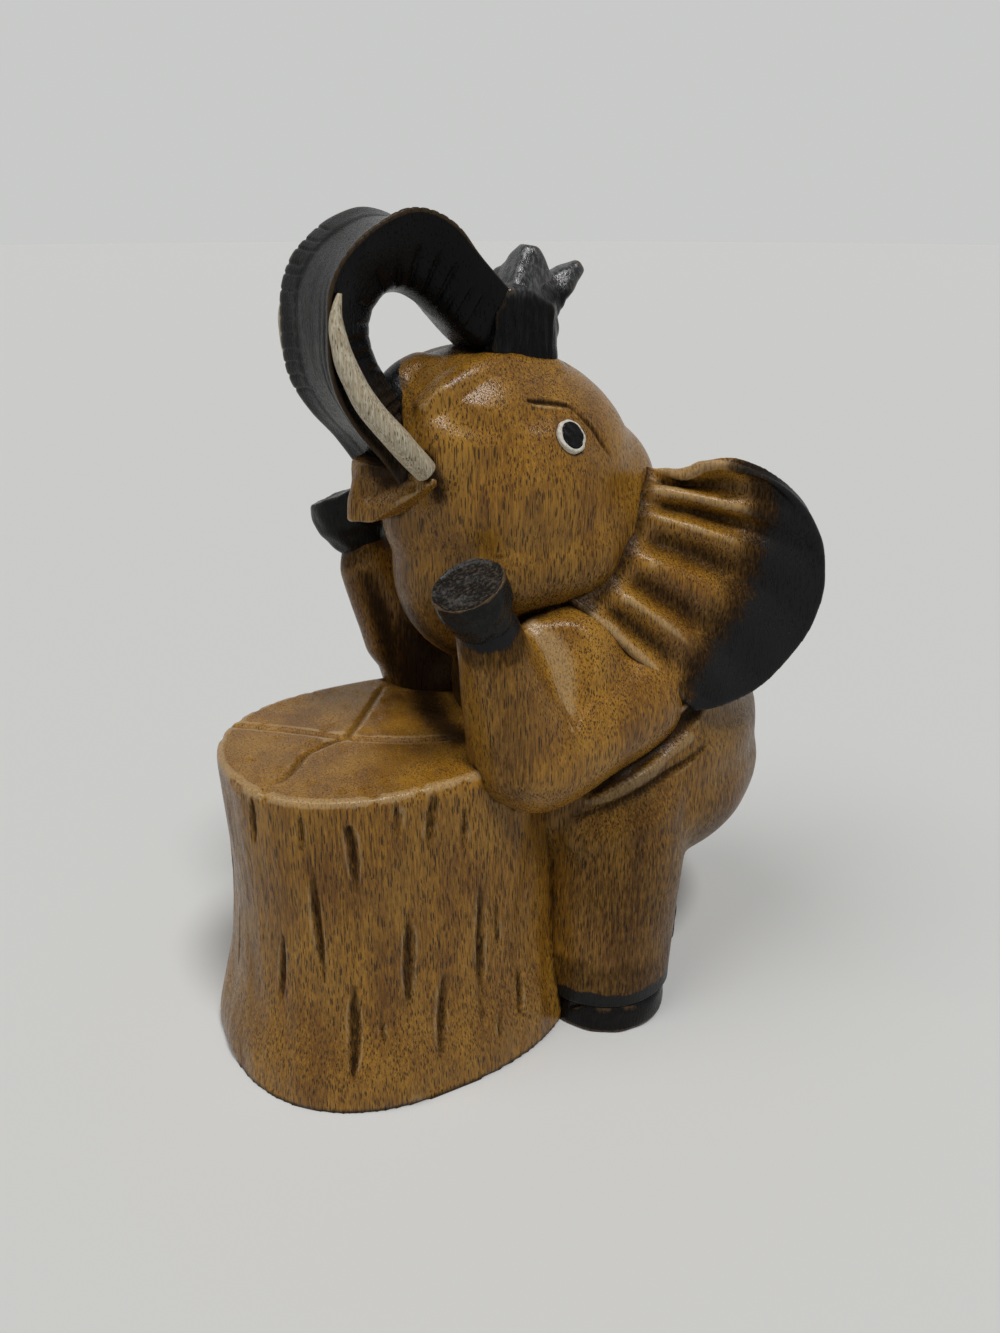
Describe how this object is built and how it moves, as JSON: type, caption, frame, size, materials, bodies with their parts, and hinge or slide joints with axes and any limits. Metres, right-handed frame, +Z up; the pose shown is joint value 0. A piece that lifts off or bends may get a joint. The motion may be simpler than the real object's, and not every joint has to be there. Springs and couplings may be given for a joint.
{
  "type": "elephant carving",
  "caption": "Carved wooden elephant with a raised, curled trunk, leaning with its forelegs over a tree stump.",
  "frame": {"origin": "on the floor, under the middle of the whole carving's box", "axes": "+Z up, -Y to the stump's front, +Y to the rump, +X to the elephant's left side"},
  "size_m": [0.0884, 0.161, 0.2002],
  "materials": {
    "stump": "satin",
    "head": "satin",
    "torso": "satin",
    "left_ear": "satin",
    "right_ear": "satin",
    "left_upper_arm": "satin",
    "right_upper_arm": "satin",
    "left_forearm": "satin",
    "right_forearm": "satin",
    "left_fore_hoof": "satin black paint",
    "right_fore_hoof": "satin black paint",
    "left_haunch": "satin",
    "right_haunch": "satin",
    "left_hind_foot": "satin black paint",
    "right_hind_foot": "satin black paint",
    "trunk": "satin black paint",
    "trunk_tip": "satin black paint",
    "lower_lip": "satin",
    "left_tusk": "worn pale paint",
    "right_tusk": "worn pale paint",
    "left_eye_white": "white paint",
    "right_eye_white": "white paint",
    "left_pupil": "gloss black paint",
    "right_pupil": "gloss black paint",
    "tail": "satin",
    "tail_tuft": "satin black paint"
  },
  "bodies": {
    "root": {"stump": "stump", "head": "head", "torso": "torso", "left_ear": "left_ear", "right_ear": "right_ear", "left_upper_arm": "left_upper_arm", "right_upper_arm": "right_upper_arm", "left_forearm": "left_forearm", "right_forearm": "right_forearm", "left_fore_hoof": "left_fore_hoof", "right_fore_hoof": "right_fore_hoof", "left_haunch": "left_haunch", "right_haunch": "right_haunch", "left_hind_foot": "left_hind_foot", "right_hind_foot": "right_hind_foot", "trunk": "trunk", "trunk_tip": "trunk_tip", "lower_lip": "lower_lip", "left_tusk": "left_tusk", "right_tusk": "right_tusk", "left_eye_white": "left_eye_white", "right_eye_white": "right_eye_white", "left_pupil": "left_pupil", "right_pupil": "right_pupil", "tail": "tail", "tail_tuft": "tail_tuft"}
  },
  "joints": []
}
